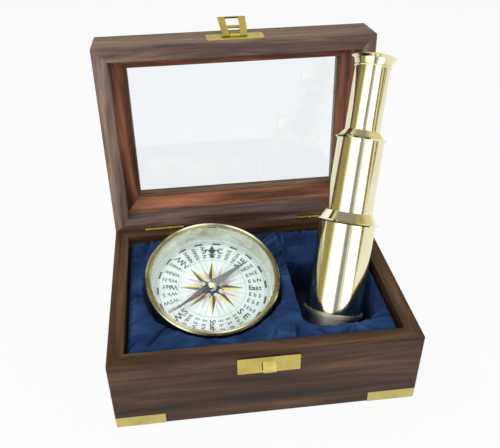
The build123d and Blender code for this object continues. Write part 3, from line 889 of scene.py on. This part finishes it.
def add_dial_rings():
    marks = []
    for radius in (degree_ring_inner, degree_ring_outer):
        marks += ring(radius, radius + fine_line)
    for degree in range(0, 360, 2):
        length = long_tick if degree % 10 == 0 else short_tick
        marks.append(ray(tick_start, tick_start + length, degree, fine_line))
    marks += ring(rose_ring, rose_ring + fine_line)
    add_print("dial_rings", marks, fine_ink)
    bars = ring(bar_outer, bar_outer + bar_line) + ring(bar_inner, bar_inner + bar_line)
    for degree in range(0, 360, 20):
        bars.append(sector(bar_inner + bar_line, bar_outer, degree + 0.5, degree + 9.5))
    add_print("dial_degree_bars", bars, ink)


def add_dial_rose():
    rays = [ray(rose_ray_start, rose_ring, i * point_angle, rose_ray_width) for i in range(32)]
    add_print("rose_rays", rays, fine_ink)
    dark, gold, orange, blue = [], [], [], []
    for i in range(8):
        main = 45 * i
        level = 2 * ink_thickness
        dark.append(half_point(main_base, main_tip, main, main_spread, -1, level))
        gold.append(half_point(main_base, main_tip, main, main_spread, 1, level))
        minor = main + 22.5
        level = ink_thickness
        orange.append(half_point(minor_base, minor_tip, minor, minor_spread, 1, level))
        blue.append(half_point(minor_base, minor_tip, minor, minor_spread, -1, level))
    add_print("rose_dark_halves", dark, ink)
    add_print("rose_gold_halves", gold, rose_yellow)
    add_print("rose_orange_halves", orange, rose_orange)
    add_print("rose_blue_halves", blue, rose_blue)
    hub = ring(hub_ring, hub_ring + hub_line, 64) + ring(hub_disc_inner, hub_disc_outer, 48)
    for main in range(0, 360, 90):
        arc_start, arc_end = main - hub_arc_spread, main + hub_arc_spread
        hub.append(ray(hub_arm_start, main_arm_end, main, main_arm_width))
        hub.append(sector(hub_arc_inner, hub_arc_outer, arc_start, arc_end))
        hub.append(ray(hub_arm_start, minor_arm_end, main + 45, minor_arm_width))
    add_print("rose_hub", hub, ink)


def add_letter(name, letter, bearing, radius, height, weight):
    """One letter centred on a radius, upright for a reader to the right of its bearing."""
    curve = bpy.data.curves.new(name, "FONT")
    curve.body = letter
    curve.size = height * MM
    curve.align_x = "CENTER"
    curve.align_y = "CENTER"
    curve.offset = weight * MM
    curve.extrude = ink_thickness / 2
    curve.resolution_u = 3
    text = bpy.data.objects.new(name, curve)
    bpy.context.scene.collection.objects.link(text)
    x, y = polar(radius, bearing)
    lift = Matrix.Translation((x, y, ink_lift + ink_thickness))
    text.matrix_world = dial_matrix @ lift @ Matrix.Rotation(radians(90 - bearing), 4, "Z")
    bpy.context.view_layer.update()
    evaluated = text.evaluated_get(bpy.context.evaluated_depsgraph_get())
    mesh = bpy.data.meshes.new_from_object(evaluated)
    mesh.transform(text.matrix_world)
    bpy.data.objects.remove(text)
    mesh.materials.clear()
    mesh.materials.append(ink)
    piece = bpy.data.objects.new(name, mesh)
    bpy.context.scene.collection.objects.link(piece)
    return piece


point_names = (
    "", "NbE", "NNE", "NEbN", "NE", "NEbE", "ENE", "EbN",
    "East", "EbS", "ESE", "SEbE", "SE", "SEbS", "SSE", "SbE",
    "South", "SbW", "SSW", "SWbS", "SW", "SWbW", "WSW", "WbS",
    "West", "WbN", "WNW", "NWbW", "NW", "NWbN", "NNW", "NbW",
)


# First and last letter's radius, letter height and weight, by the number of letters in a name
name_layouts = {2: (19.4, 23.3, 5.0, 0.1), 3: (19.4, 24.4, 3.0, 0.07), 4: (19.2, 24.6, 2.7, 0.06)}
main_layout = (19.3, 24.3, 3.9, 0.1)


def add_dial_names():
    letters = []
    for index, word in enumerate(point_names):
        if not word:
            continue
        first, last, height, weight = main_layout if word[-1].islower() else name_layouts[len(word)]
        for place, letter in enumerate(word):
            radius = first + (last - first) * place / (len(word) - 1)
            name = f"dial_letter_{index:02d}_{place}"
            letters.append(add_letter(name, letter, index * point_angle, radius, height, weight))
    join_pieces(letters, "dial_names")
    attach(letters[0], "compass")


def join_pieces(pieces, name):
    """Joins mesh objects that lie at the origin into the first of them."""
    merged = bmesh.new()
    for piece in pieces:
        merged.from_mesh(piece.data)
    merged.to_mesh(pieces[0].data)
    merged.free()
    for piece in pieces[1:]:
        bpy.data.objects.remove(piece)
    pieces[0].name = name
    pieces[0].data.name = name


def petal(tip, root, bulge, side=0.0, count=8):
    """Leaf outline from a root to a tip in dial millimetres, bowed out on both sides."""
    tip, root = Vector(tip), Vector(root)
    along = tip - root
    across = Vector((along.y, -along.x)).normalized()
    left, right = [], []
    for step in range(1, count):
        t = step / count
        middle = root + along * t + across * side * sin(pi * t)
        reach = bulge * sin(pi * t ** 0.8)
        left.append(middle + across * reach)
        right.append(middle - across * reach)
    outline = [root] + left + [tip] + right[::-1]
    return [(v.x * MM, v.y * MM) for v in outline]


def strip(outline):
    """Prism of a bent leaf, cut into quads so that it may be hollow-sided."""
    count = len(outline) // 2
    root, left, tip, right = outline[0], outline[1:count], outline[count], outline[count + 1:][::-1]
    parts = [slab([root, left[0], right[0]]), slab([left[-1], tip, right[-1]])]
    for a, b, c, d in zip(left, left[1:], right[1:], right):
        parts.append(slab([a, b, c, d]))
    return parts


def add_lily():
    """Traditional north mark: a middle leaf, two curled side leaves, a bar and a foot."""
    parts = strip(petal((0, 26.3), (0, 20.6), 1.25))
    for side in (-1, 1):
        parts += strip(petal((side * 3.0, 23.6), (side * 0.5, 20.7), 0.75, side * -0.9))
        parts += strip(petal((side * 3.4, 21.6), (side * 2.7, 23.8), 0.6, side * -0.2))
        parts += strip(petal((side * 1.6, 18.3), (side * 0.4, 20.1), 0.45, side * 0.2))
    corners = ((-1.9, 20.0), (1.9, 20.0), (1.9, 20.7), (-1.9, 20.7))
    parts.append(slab([(x * MM, y * MM) for x, y in corners]))
    parts += strip(petal((0, 17.7), (0, 20.1), 0.65))
    add_print("dial_north_lily", parts, ink)


add_dial_rings()
add_dial_rose()
add_dial_names()
add_lily()


# Small fasteners

def turned_points(profile, segments=20):
    """Vertices and faces of a profile of (radius, height) points turned round local Z."""
    vertices, faces = [], []
    for radius, height in profile:
        for i in range(segments):
            turn = 2 * pi * i / segments
            vertices.append((radius * cos(turn), radius * sin(turn), height))
    for level in range(len(profile) - 1):
        for i in range(segments):
            following = (i + 1) % segments
            a, b = level * segments + i, level * segments + following
            faces.append((a, b, b + segments, a + segments))
    faces.append(list(reversed(range(segments))))
    last = (len(profile) - 1) * segments
    faces.append([last + i for i in range(segments)])
    return vertices, faces


def dome_profile(radius, height, depth, rings=5):
    """Shank below the plate and a rounded head above it."""
    profile = [(radius * 0.5, -depth), (radius * 0.5, 0.0)]
    for step in range(rings):
        lift = step / rings * pi / 2
        profile.append((radius * cos(lift), height * sin(lift)))
    profile.append((radius * 0.06, height))
    return profile


def add_studs(name, places, matrix, body, profile):
    vertices, faces = turned_points(profile)
    parts = []
    for x, y, z, turn in places:
        place = Matrix.Translation((x, y, z)) @ turn
        parts.append(([place @ Vector(v) for v in vertices], faces))
    piece = joined(name, parts, fitting_brass, matrix)
    smooth = [len(face.vertices) == 4 for face in piece.data.polygons]
    piece.data.polygons.foreach_set("use_smooth", smooth)
    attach(piece, body)


identity = Matrix.Identity(4)
outward_front = Matrix.Rotation(radians(90), 4, "X")
outward_back = Matrix.Rotation(radians(-90), 4, "X")
plate_out = 0.7 * MM
rim_gap = 0.2 * MM
shank_length = 3.0 * MM
pin_profile = dome_profile(0.9 * MM, 0.42 * MM, shank_length)
screw_profile = dome_profile(1.4 * MM, 0.4 * MM, shank_length)
pin_x = 11.4 * MM
latch_pin_z = rim_height + rim_gap + 6.9 * MM
catch_pin_z = rim_height - 6.6 * MM
front_y = -half_depth - plate_out
add_studs(
    "catch_pins", [(side * pin_x, front_y, catch_pin_z, outward_front) for side in (-1, 1)],
    identity, "base", pin_profile,
)
add_studs(
    "latch_pins", [(side * pin_x, front_y, latch_pin_z, outward_front) for side in (-1, 1)],
    lid_matrix, "lid", pin_profile,
)

leaf_low, leaf_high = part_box("hinge_base_leaf_right")
hinge_centre_x = (leaf_low.x + leaf_high.x) / 2
screw_half_spacing = 7.0 * MM
screw_drop = 5.2 * MM
screw_spots = [
    side * hinge_centre_x + end * screw_half_spacing for side in (-1, 1) for end in (-1, 1)
]
add_studs(
    "hinge_base_screws",
    [(x, half_depth, hinge_point.z - screw_drop, outward_back) for x in screw_spots],
    identity, "base", screw_profile,
)
add_studs(
    "hinge_lid_screws",
    [(x, half_depth, hinge_point.z + screw_drop, outward_back) for x in screw_spots],
    lid_matrix, "lid", screw_profile,
)


# Floor, backdrop and light

floor_half_size = 3.0
seen_share = 0.9


def floor_material():
    """Pale matt floor that shows as white, with the object's shadow kept faintly."""
    shader = Shader("pale_floor")
    mottle = shader.noise(shader.place(), 3.0)
    tone = shader.mix(mottle, linear(238, 238, 238), linear(244, 244, 244))
    shader.set(Base_Color=tone, Roughness=0.9)
    path = shader.node("ShaderNodeLightPath", {}).outputs
    seen = shader.math("MAXIMUM", path["Is Camera Ray"], path["Is Glossy Ray"])
    seen = shader.math("MAXIMUM", seen, path["Is Transmission Ray"])
    glow = shader.node("ShaderNodeEmission", {"Color": (1, 1, 1, 1), "Strength": 1.0})
    shader.show(shader.blend(
        shader.math("MULTIPLY", seen, seen_share),
        shader.surface.outputs["BSDF"],
        glow.outputs["Emission"],
    ))
    return shader.material


def add_floor():
    half = floor_half_size
    corners = [(-half, -half, 0), (half, -half, 0), (half, half, 0), (-half, half, 0)]
    mesh_object("floor", corners, [(0, 1, 2, 3)], floor_material())


add_floor()


# Brightness of the studio that polished metal mirrors, by the compass direction seen from the box.
# Degrees run from straight in front towards the right.
grey_card = (0.13, 0.145, 0.175)
olive_card = (0.16, 0.135, 0.06)
dark_card = (0.035, 0.03, 0.02)
warm_wall = (0.36, 0.335, 0.22)
pale_wall = (0.5, 0.49, 0.42)
soft_box = (1.0, 1.0, 1.0)
studio_walls = (
    (-180, warm_wall), (-130, warm_wall), (-123, dark_card), (-112, dark_card),
    (-104, olive_card), (-78, olive_card), (-68, pale_wall), (-58, soft_box),
    (-25, soft_box), (-17, grey_card), (-4, grey_card), (2, pale_wall),
    (5, grey_card), (11, soft_box), (40, soft_box), (46, olive_card),
    (52, dark_card), (58, pale_wall), (66, olive_card), (70, dark_card),
    (76, warm_wall), (86, olive_card), (100, warm_wall), (180, warm_wall),
)
studio_dome = (0.15, 0.145, 0.13, 1)
dome_start = radians(45)
dome_full = radians(65)
white = (1, 1, 1, 1)
even_strength = 0.34
mirrored_strength = 2.2


def set_world():
    """White to the camera, even light for matt surfaces, and a studio for metal to mirror."""
    world = bpy.data.worlds.new("studio")
    bpy.context.scene.world = world
    world.use_nodes = True
    graph = Graph(world.node_tree)

    place = graph.node("ShaderNodeTexCoord", {}).outputs["Generated"]
    direction = graph.node("ShaderNodeSeparateXYZ", {"Vector": place}).outputs
    forward = graph.math("MULTIPLY", direction["Y"], -1.0)
    heading = graph.span(graph.math("ARCTAN2", direction["X"], forward), -pi, pi)
    stops = [((degrees + 180) / 360, (*colour, 1)) for degrees, colour in studio_walls]
    walls = graph.ramp(heading, *stops)
    overhead = graph.span(
        direction["Z"], sin(dome_start), sin(dome_full), interpolation_type="SMOOTHSTEP"
    )
    studio = graph.mix(overhead, walls, studio_dome)

    even = graph.tree.nodes["Background"]
    graph.feed(even.inputs["Color"], white)
    graph.feed(even.inputs["Strength"], even_strength)
    mirrored = graph.node("ShaderNodeBackground", {"Color": studio, "Strength": mirrored_strength})
    shown = graph.node("ShaderNodeBackground", {"Color": white, "Strength": 1.0})

    path = graph.node("ShaderNodeLightPath", {}).outputs
    seen = graph.math("MAXIMUM", path["Is Camera Ray"], path["Is Transmission Ray"])
    matt = graph.blend(path["Is Glossy Ray"], even.outputs[0], mirrored.outputs[0])
    surface = graph.blend(seen, matt, shown.outputs[0])
    graph.feed(graph.tree.nodes["World Output"].inputs["Surface"], surface)


def add_lamp(name, place, target, size, power):
    """A soft lamp that lights matt surfaces; metal mirrors the studio instead."""
    data = bpy.data.lights.new(name, "AREA")
    data.shape = "RECTANGLE"
    data.size, data.size_y = size
    data.energy = power
    lamp = bpy.data.objects.new(name, data)
    lamp.visible_glossy = False
    direction = Vector(target) - Vector(place)
    turn = direction.to_track_quat("-Z", "Y").to_matrix().to_4x4()
    lamp.matrix_world = Matrix.Translation(place) @ turn
    bpy.context.scene.collection.objects.link(lamp)


lamp_target = (0.0, 0.0, 0.05)
set_world()
add_lamp("lamp_top", (-0.1, -0.05, 0.75), lamp_target, (0.6, 0.5), 2.6)
add_lamp("lamp_front_left", (-0.5, -0.7, 0.5), lamp_target, (0.35, 0.4), 2.6)
add_lamp("lamp_front_right", (0.5, -0.6, 0.45), lamp_target, (0.3, 0.4), 1.8)

bpy.context.scene.view_settings.view_transform = "Standard"
